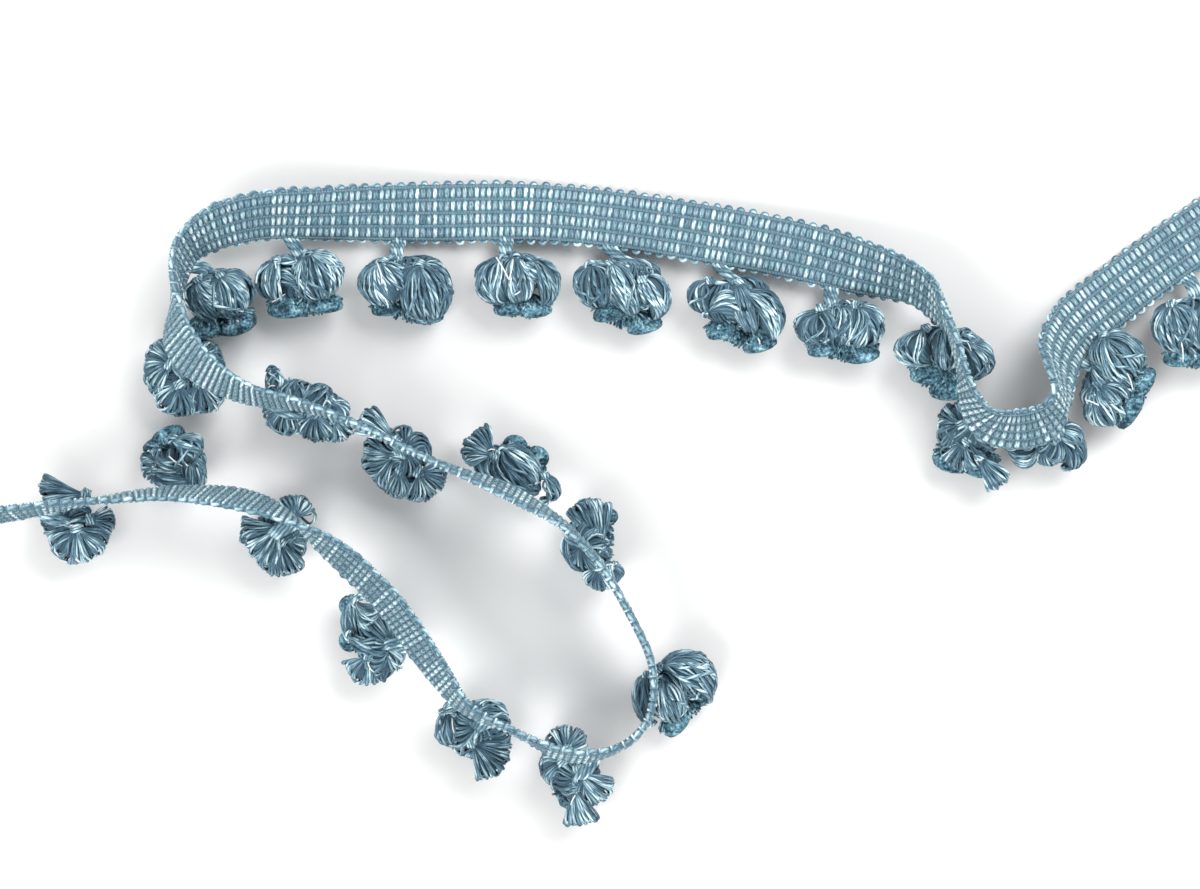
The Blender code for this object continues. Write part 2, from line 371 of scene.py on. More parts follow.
def buildPiece(name, points, faceSets, uvName, uvs, tones, materials, faceMaterial=None):
    # faceSets are arrays of corner numbers, one row a face; uvs are per corner, tones per point
    mesh = bpy.data.meshes.new(name)
    corners = np.concatenate([faces.ravel() for faces in faceSets])
    sizes = np.concatenate([np.full(len(faces), faces.shape[1]) for faces in faceSets])
    mesh.vertices.add(len(points))
    mesh.loops.add(len(corners))
    mesh.polygons.add(len(sizes))
    mesh.vertices.foreach_set("co", points.astype(np.float32).ravel())
    mesh.loops.foreach_set("vertex_index", corners.astype(np.int32))
    mesh.polygons.foreach_set("loop_start", (np.cumsum(sizes) - sizes).astype(np.int32))
    mesh.update(calc_edges=True)
    mesh.polygons.foreach_set("use_smooth", np.ones(len(sizes), bool))
    layer = mesh.uv_layers.new(name=uvName)
    layer.data.foreach_set("uv", uvs.astype(np.float32).ravel())
    colours = mesh.attributes.new("tone", "FLOAT_VECTOR", "POINT")
    colours.data.foreach_set("vector", tones.astype(np.float32).ravel())
    for material in materials:
        mesh.materials.append(material)
    if faceMaterial is not None:
        mesh.polygons.foreach_set("material_index", faceMaterial.astype(np.int32))
    mesh.update()
    piece = bpy.data.objects.new(name, mesh)
    scene.collection.objects.link(piece)
    return piece


class StrandStore:
    # gathers tubes of yarn: each batch holds lines of equal length, with a radius at every point
    def __init__(self):
        self.points, self.quads, self.caps, self.uvs, self.capUvs = [], [], [], [], []
        self.tones, self.kinds, self.capKinds, self.count = [], [], [], 0

    def add(self, lines, radii, side, plies, shade, sides=5, pitch=3.4, kind=0):
        # ring point = line + radius * (cos a * across + sin a * over); u = length / pitch, and
        # v = a / 2 pi; side is any way off the line, pitch the mm to a turn of the twist
        amount, steps, _ = lines.shape
        travel = unit(np.gradient(lines, axis=1))
        across = unit(side - dot(side, travel) * travel)
        over = np.cross(travel, across)
        angles = (np.arange(sides) * 2 * np.pi / sides)[:, None]
        ring = np.cos(angles) * across[:, :, None] + np.sin(angles) * over[:, :, None]
        radii = np.broadcast_to(radii, (amount, steps))[:, :, None, None]
        lengths = np.linalg.norm(np.diff(lines, axis=1), axis=2)
        reached = np.concatenate([np.zeros((amount, 1)), np.cumsum(lengths, axis=1)], axis=1)
        shade = np.broadcast_to(shade, (amount, steps))[:, :, None]
        plies = np.asarray(plies)[:, None, None]
        rings = lines[:, :, None] + radii * ring
        self.addRings(rings, reached / (pitch * mm), 1, plies, shade, kind)

    def addRings(self, points, u, cycles, plies, shade, kind):
        # joins rings of points into closed tubes; v runs over the given cycles round each ring
        amount, steps, sides, _ = points.shape
        grid = np.arange(amount * steps * sides).reshape(amount, steps, sides) + self.count
        following = np.roll(grid, -1, axis=2)
        quads = np.stack([grid[:, :-1], following[:, :-1], following[:, 1:], grid[:, 1:]], axis=-1)
        v = np.arange(sides) / sides * cycles
        self.points.append(points.reshape(-1, 3))
        self.quads.append(quads.reshape(-1, 4))
        self.uvs.append(cornerUvs(u[:, :-1, None], u[:, 1:, None], v, v + cycles / sides))
        ends = np.concatenate([grid[:, 0, ::-1], grid[:, -1]])
        endU = np.broadcast_to(np.concatenate([u[:, :1], u[:, -1:]]), ends.shape)
        self.caps.append(ends)
        self.capUvs.append(np.stack([endU, np.broadcast_to(v, ends.shape)], -1).reshape(-1, 2))
        tones = np.empty((amount, steps, sides, 3))
        tones[..., :2] = plies
        # the third tone number is painted shade, which multiplies the colour
        tones[..., 2] = shade
        self.tones.append(tones.reshape(-1, 3))
        self.kinds.append(np.full(quads.size // 4, kind))
        self.capKinds.append(np.full(len(ends), kind))
        self.count += grid.size

    def build(self, name, materials):
        # one piece of all the tubes: their walls first, then their end caps by number of corners
        sizes = np.array([caps.shape[1] for caps in self.caps])
        groups = [np.flatnonzero(sizes == size) for size in sorted(set(sizes))]

        def gathered(walls, caps):
            capSets = [np.concatenate([caps[k] for k in group]) for group in groups]
            return [np.concatenate(walls)] + capSets

        faceSets = gathered(self.quads, self.caps)
        uvs = np.concatenate(gathered(self.uvs, self.capUvs))
        kinds = np.concatenate(gathered(self.kinds, self.capKinds))
        points, tones = np.concatenate(self.points), np.concatenate(self.tones)
        points[:, 2] = settled(points[:, 2])
        return buildPiece(name, points, faceSets, "strand", uvs, tones, materials, kinds)


def settled(heights, rest=0.25 * mm, soft=0.5 * mm):
    # yarn pressed on the floor: heights below the rest level are lifted smoothly onto it
    return rest + 0.5 * (heights - rest + np.sqrt((heights - rest) ** 2 + soft**2)) - 0.25 * soft


# the braid's line: a lean of 0 lies face up, 90 stands on edge with the pompoms below,
# past 90 shows the back
folds = np.array([      # x, y, height (mm), lean (degrees)
    (162.5, 59.5, 3.2, -15), (146.5, 48.5, 3.2, -14), (132.5, 38.0, 3.8, -10),
    (124.0, 31.5, 7.5, 8), (118.0, 23.5, 14.0, 40), (117.0, 16.5, 21.5, 72),
    (117.5, 11.5, 25.0, 72), (115.5, 7.0, 25.5, 56), (105.5, 3.5, 25.0, 52),
    (98.0, 5.5, 25.5, 60), (93.5, 13.0, 26.5, 80), (91.5, 22.5, 25.0, 90),
    (88.0, 33.0, 18.0, 84), (84.0, 39.0, 13.5, 66), (64.5, 46.5, 7.8, 25),
    (25.0, 55.0, 4.2, -6), (-15.5, 60.0, 3.4, -10), (-44.5, 60.0, 4.6, 10),
    (-72.5, 59.5, 9.0, 34), (-90.0, 58.5, 12.6, 43), (-98.5, 56.0, 13.8, 48),
    (-105.0, 52.0, 15.5, 64), (-108.5, 40.5, 20.0, 86), (-107.2, 26.5, 25.0, 125),
    (-91.0, 13.4, 26.0, 109), (-76.0, 10.2, 26.8, 97), (-40.5, -5.0, 26.5, 90),
    (-22.5, -12.5, 26.5, 80), (-8.5, -21.0, 26.5, 88), (8.0, -44.0, 24.5, 90),
    (13.5, -57.0, 23.5, 90), (11.5, -72.0, 24.0, 86), (4.5, -77.5, 25.5, 85),
    (-4.0, -79.5, 26.5, 78), (-24.0, -72.0, 26.5, 85), (-33.5, -67.5, 26.5, 78),
    (-42.0, -57.0, 25.5, 65), (-55.0, -39.0, 25.5, 63), (-69.7, -25.6, 25.5, 69),
    (-82.5, -17.0, 26.5, 101), (-110.0, -12.5, 22.5, 99), (-125.5, -14.0, 24.0, 92),
    (-146.5, -17.0, 26.5, 80), (-159.0, -19.0, 25.5, 77),
])


def distancesAlong(points):
    # each point's distance from the first, summed over the straight lines between them
    steps = np.linalg.norm(np.diff(points[:, :3], axis=0), axis=1)
    return np.concatenate([[0.0], np.cumsum(steps)])


def curveThrough(rows, spacing):
    # a cubic between each two rows; a row's slope is the mean of the chords on its two sides, each
    # weighed by the length of the other
    at = distancesAlong(rows)
    chords = np.diff(rows, axis=0) / np.diff(at)[:, None]
    share = (at[2:] - at[1:-1]) / (at[2:] - at[:-2])
    inner = chords[:-1] * share[:, None] + chords[1:] * (1 - share[:, None])
    slopes = np.vstack([chords[:1], inner, chords[-1:]])
    places = np.arange(0.0, at[-1], spacing)
    k = np.clip(np.searchsorted(at, places, side="right") - 1, 0, len(rows) - 2)
    span = (at[k + 1] - at[k])[:, None]
    t = (places - at[k])[:, None] / span
    start = (2 * t**3 - 3 * t**2 + 1) * rows[k] + (t**3 - 2 * t**2 + t) * span * slopes[k]
    end = (3 * t**2 - 2 * t**3) * rows[k + 1] + (t**3 - t**2) * span * slopes[k + 1]
    return start + end


run = {"spacing": 1.0, "smoothings": 10}      # mm between samples, rounds of smoothing
samples = curveThrough(folds, run["spacing"])
for _ in range(run["smoothings"]):            # inner samples move halfway to their neighbours' mean
    samples[1:-1] = samples[1:-1] / 2 + (samples[:-2] + samples[2:]) / 4
samplesAt = distancesAlong(samples)
braidLength = samplesAt[-1]
travelAt = unit(np.gradient(samples[:, :3], samplesAt, axis=0))


def lookUp(values, places):
    # each column of values at places along the braid, straight between two samples
    return np.stack([np.interp(places, samplesAt, column) for column in values.T], axis=1)


def braidDirections(places):
    # middle, travel, way to the pompom edge, way out of the front; in mm.
    # way to the edge = cos(lean) * level left - sin(lean) * up, made square to the travel
    middle = lookUp(samples[:, :3], places) - np.array([*view["middle"], 0.0])
    lean = np.radians(np.interp(places, samplesAt, samples[:, 3]))[:, None]
    travel = unit(lookUp(travelAt, places))
    left = unit(np.stack([-travel[:, 1], travel[:, 0], np.zeros(len(places))], axis=1))
    across = np.cos(lean) * left - np.sin(lean) * np.array([0.0, 0.0, 1.0])
    across = unit(across - dot(across, travel) * travel)
    return middle, travel, across, np.cross(travel, across)


def drift(rng, count, knots, low, high):
    # a share for each of count places, straight between random values at the knots
    return np.interp(np.arange(count), knots, rng.uniform(low, high, len(knots)))


def drawTones(rng, light, pale, plain):
    # a random tone for each place: from the pale span where light is true, else from the plain one
    return np.where(light, rng.uniform(*pale, len(light)), rng.uniform(*plain, len(light)))


# the braid: ribs of weft bound by warp lines
braid = {
    "seed": 11,
    "width": 14.6, "core": 0.38,               # mm: between the edge warps, half its ground
    "relief": 0.70, "swell": 0.09,             # mm: height of a rib, and the share it varies by
    "rib": 1.56, "ribSteps": 4,                # mm a rib takes along the braid, rings to a rib
    "bands": 4,                                # between warp lines
    "bandStops": (0.0, 0.12, 0.22, 0.78, 0.88),          # points across a band
    "bandHeights": (0.55, 0.25, 0.95, 0.95, 0.25),       # how high each stands, of the relief
    "rim": 0.14, "rimHeight": 0.3,             # bands past the outer warp lines, and its height
    "lineReach": 0.2,                          # bands beside a warp line where ribs hardly show
    "grounds": ((0.85, 0.15), (0.15, 0.85)),   # there and on the back: the ground, and ribs on it
    "paintedShades": (0.55, 0.45), "shadeGain": 1.6,  # painted shade between the ribs, what height adds, and how soon
}
ribShades = {
    "group": 6, "crowds": (0.3, 1.0),          # ribs between changes, share of pale ones
    "evenShare": 0.95, "oddShare": 0.3,        # of that share, for every second rib and the others
    "pale": (0.74, 1.0), "plain": (0.42, 0.66),
    "spread": 0.07, "kept": 0.95,              # between a rib's cells, share of them that keep it
    "strays": (0.42, 1.0),
}


def ribTones(rng, count):
    # the weft keeps its shade right across the braid: every second one is often pale, in groups,
    # the others go from slate to sky, and single cells differ a little
    look = ribShades
    knots = np.arange(0, count + 2 * look["group"], look["group"])
    crowd = drift(rng, count, knots, *look["crowds"])
    crowd = crowd * np.where(np.arange(count) % 2 == 0, look["evenShare"], look["oddShare"])
    tone = drawTones(rng, rng.uniform(size=count) < crowd, look["pale"], look["plain"])
    cells = tone[:, None] + rng.normal(0, look["spread"], (count, braid["bands"]))
    stray = rng.uniform(size=cells.shape) > look["kept"]
    return np.where(stray, rng.uniform(*look["strays"], cells.shape), cells)


def buildBraid():
    # ring point = middle + across * w + front * (core + relief * rib(u) * band(v)), on both faces,
    # with rib(u) = sqrt(1 - (2 u - 1)^2) over each rib and band(v) straight between its stops
    rng = np.random.default_rng(braid["seed"])
    ribCount = round(braidLength / braid["rib"])
    steps, bands, rim = braid["ribSteps"], braid["bands"], braid["rim"]
    rows = ribCount * steps + 1
    middle, travel, across, front = braidDirections(np.linspace(0, braidLength, rows))
    # points across the face, and the shape of bands and ribs there
    inner = np.concatenate([band + np.array(braid["bandStops"]) for band in range(bands)])
    stops = np.concatenate([[-rim], inner, [bands, bands + rim]])
    heights, rimHeight = braid["bandHeights"], braid["rimHeight"]
    bandShape = np.concatenate([[rimHeight], np.tile(heights, bands), [heights[0], rimHeight]])
    phase = np.arange(rows) % steps / steps
    ribShape = np.sqrt(1 - (2 * phase - 1) ** 2)[:, None]
    ribNumber = np.minimum(np.arange(rows) // steps, ribCount - 1)
    bandNumber = np.clip(np.floor(stops).astype(int), 0, bands - 1)
    swell = rng.normal(1, braid["swell"], (ribCount, bands))[ribNumber][:, bandNumber]
    onLine = np.abs((stops + 0.5) % 1 - 0.5) < braid["lineReach"]
    lineShape, backShape = (raised(pair, ribShape) for pair in braid["grounds"])
    relief = np.where(onLine, bandShape * lineShape, bandShape * ribShape * swell) * braid["relief"]
    back = backShape * np.clip(bandShape * 2, 0, 1) * braid["relief"]
    # the two faces as one ring round the braid at each row
    wide = (stops + rim) / (bands + 2 * rim) * braid["width"] - braid["width"] / 2
    flat = middle[:, None] + across[:, None] * wide[:, None]
    lifts = [(braid["core"] + height)[:, :, None] for height in (relief, back)]
    faces = (flat + front[:, None] * lifts[0], (flat - front[:, None] * lifts[1])[:, ::-1])
    points = np.concatenate(faces, axis=1)
    width = points.shape[1]
    grid = np.arange(rows * width).reshape(rows, width)
    following = np.roll(grid, -1, axis=1)
    quads = np.stack([grid[:-1], following[:-1], following[1:], grid[1:]], -1).reshape(-1, 4)
    caps = np.stack([grid[0, ::-1], grid[-1]])
    u = np.arange(rows)[:, None] / steps
    v = np.concatenate([stops, stops[::-1]])
    uvs = np.concatenate([cornerUvs(u[:-1], u[1:], v, np.roll(v, -1)), np.zeros((caps.size, 2))])
    cellTones = [ribTones(rng, ribCount)[ribNumber][:, bandNumber] for _ in range(2)]
    tones = np.empty((rows, width, 3))
    tones[..., 0] = np.concatenate([cellTones[0], cellTones[1][:, ::-1]], axis=1)
    tones[..., 1] = np.arange(width) < len(stops)            # 1 on the front, 0 on the back
    height = np.concatenate([relief, back[:, ::-1]], axis=1) / braid["relief"]
    # painted shade: darker where the face lies low between the ribs
    tones[..., 2] = raised(braid["paintedShades"], np.clip(height * braid["shadeGain"], 0, 1))
    points, tones = points.reshape(-1, 3) * mm, tones.reshape(-1, 3)
    return buildPiece("braid", points, [quads, caps], "weave", uvs, tones, [weave])


picot = {
    "seed": 23,
    "pitch": 3.12, "span": 0.25,               # mm from loop to loop, half a loop's share of it
    "root": 0.5, "reach": 1.0,                 # mm: inside the braid's edge, out from there
    "roundness": 0.7, "uneven": (0.85, 1.15),  # power of its bow, factor on its reach
    "tilt": 0.3,                               # mm to the front or back
    "radius": 0.62, "thickening": (0.7, 0.3),  # mm; of it, a loop's ends and what its bow adds
    "radii": (0.9, 1.12), "sides": 6, "steps": 9, "twist": 9.0,      # twist: mm to a turn
    "paleShare": 0.5,
    # spans of tone, pale and plain, for its first and second ply
    "plies": (((0.68, 0.95), (0.4, 0.62)), ((0.5, 0.8), (0.35, 0.6))),
}


def buildPicots():
    # weft loops past both edges: along = - pitch * span * cos(pi t), and
    # out = reach * sin(pi t) ^ roundness
    rng = np.random.default_rng(picot["seed"])
    store = StrandStore()
    count = int(braidLength / picot["pitch"])
    middles = (np.arange(count) + 0.5) * braidLength / count
    t = np.linspace(0, 1, picot["steps"])
    bow = np.sin(np.pi * t)
    shift = -np.cos(np.pi * t) * picot["pitch"] * picot["span"]
    places = np.clip(middles[:, None] + shift, 0, braidLength).ravel()
    shape = (count, len(t), 3)
    middle, _, across, front = (values.reshape(shape) for values in braidDirections(places))
    for sign in (-1, 1):
        far = picot["reach"] * bow ** picot["roundness"] * rng.uniform(*picot["uneven"], (count, 1))
        out = braid["width"] / 2 - picot["root"] + far
        tilt = rng.uniform(-picot["tilt"], picot["tilt"], (count, 1)) * bow
        lines = middle + across * (sign * out)[:, :, None] + front * tilt[:, :, None]
        light = rng.uniform(size=count) > 1 - picot["paleShare"]
        plies = np.stack([drawTones(rng, light, *spans) for spans in picot["plies"]], axis=1)
        radii = picot["radius"] * raised(picot["thickening"], bow)
        radii = radii * rng.uniform(*picot["radii"], (count, 1))
        store.add(lines * mm, radii * mm, front, plies, 1.0, picot["sides"], picot["twist"])
    return store.build("picots", [yarn])


# the pompoms
pomColumns = ("along", "x", "y", "z", "azimuth", "tilt", "spin", "width", "depth", "drop")
pomRows = (       # sewn at, middle of the body (mm), its axis and turn (degrees), size (mm)
    (18, 154.0, 29.0, 7.7, -88, 5, 6, 23.5, 18.0, 18.5),
    (55.5, 134.0, 15.5, 7.3, -30, 2, -8, 25.0, 17.0, 17.5),
    (82.5, 117.5, 1.0, 8.3, -85, 78, 0, 21.0, 17.5, 16.5),
    (105, 95.5, 0.0, 8.5, -100, 32, 0, 21.0, 16.0, 18.0),
    (139, 90.0, 21.5, 6.2, -86, 5, 4, 26.0, 15.0, 17.5),
    (165, 61.0, 27.0, 7.6, -80, 6, -5, 24.0, 18.0, 18.5),
    (195.5, 35.5, 34.0, 7.8, -75, 5, 8, 26.0, 18.0, 19.0),
    (224.5, 6.5, 38.5, 7.7, -76, 5, -6, 27.0, 18.0, 19.0),
    (250.5, -22.0, 41.0, 7.6, -86, 5, 3, 23.5, 18.0, 17.5),
    (279, -50.0, 40.0, 7.8, -84, 5, -10, 25.0, 18.0, 17.5),
    (305, -77.0, 39.3, 7.7, -88, 6, 7, 23.0, 18.0, 17.5),
    (336, -98.5, 36.3, 6.9, -72, 12, -5, 20.0, 17.0, 18.5),
    (367, -107.7, 17.6, 8.1, -70, 82, 0, 22.0, 20.0, 16.5),
    (392.5, -75.0, 12.2, 8.8, 75, 42, 0, 25.0, 16.0, 17.0),
    (427.5, -51.0, -2.5, 8.3, -139, 80, 0, 25.0, 19.0, 16.5),
    (451.5, -23.0, -5.5, 8.5, 60, 42, 0, 25.5, 15.0, 17.0),
    (473, -2.0, -25.5, 8.7, 20, 60, 0, 25.5, 15.0, 16.5),
    (515.5, 20.5, -64.0, 7.8, -42, 20, 0, 23.0, 18.0, 17.5),
    (547.5, -7.0, -86.0, 8.9, -165, 68, 0, 25.5, 17.0, 16.5),
    (577, -32.5, -73.5, 9.0, -130, 70, 0, 23.0, 19.0, 16.5),
    (605, -59.0, -51.0, 8.9, 178, 45, 0, 25.5, 16.0, 17.0),
    (648, -84.5, -23.5, 8.3, -110, 80, 0, 20.0, 20.0, 16.5),
    (677.5, -110.5, -3.0, 6.8, 115, 12, 0, 20.0, 17.0, 17.0),
    (715, -137.0, -20.0, 8.3, 37, 78, 0, 24.0, 17.0, 16.5),
)
pompom = {                       # mm and degrees unless a note says otherwise
    "seed": 100,
    "tieRise": 1.2,              # of the tie past half the drop, where the axis lies level
    "upright": 50,               # tilt past which a pompom hangs upright
    "nest": (0.45, 0.55),        # how far a line reaches to the ties: a thin one, what size adds
    "shadePower": 0.6,           # how soon painted shade clears away from a tie
    "tones": {                   # of a strand: spans for pale and for plain ones, by ply
        "group": 5,              # strands to a group
        "light": 0.3,            # share of pale ones
        "mix": 0.3,              # of the first ply's tone in the second
        "plies": (((0.8, 1.15), (0.20, 0.70)), ((0.8, 1.05), (0.20, 0.66))),
    },
    "inner": {                   # the lobe inside: its tie; shares of drop, width (lying, upright),
        "top": 1.8, "drop": 0.66, "widths": (0.35, 0.26), "depth": 0.36,     # and depth
        # painted shade on the inner lobe: factors for its filling and its loops
        "lie": 90, "fan": 176, "twist": 0.9, "insideShades": (0.7, 0.75),
    },
    "foot": {"aside": 0.17, "down": 0.62, "reach": 0.38},    # shares of width, drop and drop
    "filling": {
        "size": 0.90, "roundness": 0.78,                     # of the loops' size, bulge's power
        "rings": 11, "between": (0.03, 0.97),                # shares of the way between the ties
        "sideStep": 1.5, "strand": 0.85, "twist": 12,        # of girth to a side and to a strand
        "whole": 120, "fanShare": 0.97, "spine": 0.02,       # fan past which it closes on itself
        "tones": (0.25, 0.85), "paintedShades": (0.21, 0.36),       # painted shade at a tie, and what the middle adds
    },
    "loops": {
        "strand": 0.42, "radii": (0.62, 0.38), "uneven": (0.85, 1.2),     # at a tie, middle adds
        "spacing": 0.80, "narrow": 60, "narrowCrowding": 1.25, "rings": 12, "twist": 9.0,
        "flat": 100, "flatRough": 0.03, "rough": 0.065,      # how far locks differ in size, by fan
        "looseFan": 1.4, "strays": 0.12,                     # radians of fan, share of stray loops
        "lockWidth": 0.9, "lockTwist": 0.32, "lockBow": 0.45, "lockFull": 1.5,
        "angleNoise": 0.04, "sizeNoise": 0.02, "bowNoise": 0.2,
        "sway": 0.11, "straySway": 0.3, "straySize": 0.05,
        "fullness": 0.76, "fullnessLimits": (0.55, 1.0),
        # painted shade at a tie and what the middle adds, then a random spread per loop
        "paintedShades": (0.36, 0.64), "shadeSpan": (0.66, 1.12),
    },
    "ties": {
        "yarn": 0.45, "wraps": (1.15, 1.35), "turns": 1.08, "steps": 9, "tones": (0.3, 0.7),
        "knotYarn": 0.42, "knotHalf": 1.5, "knotRise": 1.1, "knotFall": 1.2, "knotSteps": 7,
        "knotShifts": (-0.75, 0.0, 0.75), "knotLight": 0.4,
    },
    "brush": {
        "strand": 0.27, "tufts": 150, "spreads": (70, 48),   # strands in a tuft; lying, upright
        "between": 0.4, "middleReach": 0.08,                 # share of strands between the feet
        "lengths": (0.90, 1.0), "dome": 0.1, "flare": 1.3, "sway": 0.22,
        "root": 0.6, "inward": 0.4, "flat": 0.95,
        "radii": (0.7, 1.2, 1.5, 1.1), "uneven": (0.75, 1.3),
        # painted shade along a strand from root to tip, then a random spread per strand
        "paintedShades": (0.45, 0.7, 1.0, 0.85), "shadeSpan": (0.65, 1.2), "tones": (0.2, 1.0),
        "bodySteps": (0.0, 0.16, 0.32, 0.48, 0.64, 0.78, 0.88, 0.94),
        "bodyRadii": (0.16, 0.42, 0.63, 0.77, 0.83, 0.78, 0.58, 0.25),
    },
    "threads": {"radius": 0.19, "steps": 6, "sag": (0.2, 0.0, 0.4)},
    "neck": {
        "yarn": 0.6, "twist": 6.0, "root": 0.9, "handle": 0.32, "steps": 10, "narrow": 0.75,
        "fork": (1.4, 1.6),                                  # from the tie, along and to the front
        # each yarn: how far aside, to which tie, its tone
        "yarns": ((-1.5, 0, 0.75), (-0.5, 0, 0.5), (0.5, 1, 0.85), (1.5, 1, 0.55)),
        "endShares": (0.35, 0.7, 1.0), "endLifts": (-0.2, -0.3, 0.0),
        "wander": 0.15, "toneNoise": (0.1, 0.08), "secondTone": 0.45,
        "shifts": {9: 1.6, 10: 0.9, 11: 2.8, 12: 3.0},       # along the braid past the row's place
        "forkShifts": {7: (-2.4, 1.6), 8: (-4.0, 2.4), 9: (1.6, 0), 10: (1.8, 0)},     # and down
    },
}
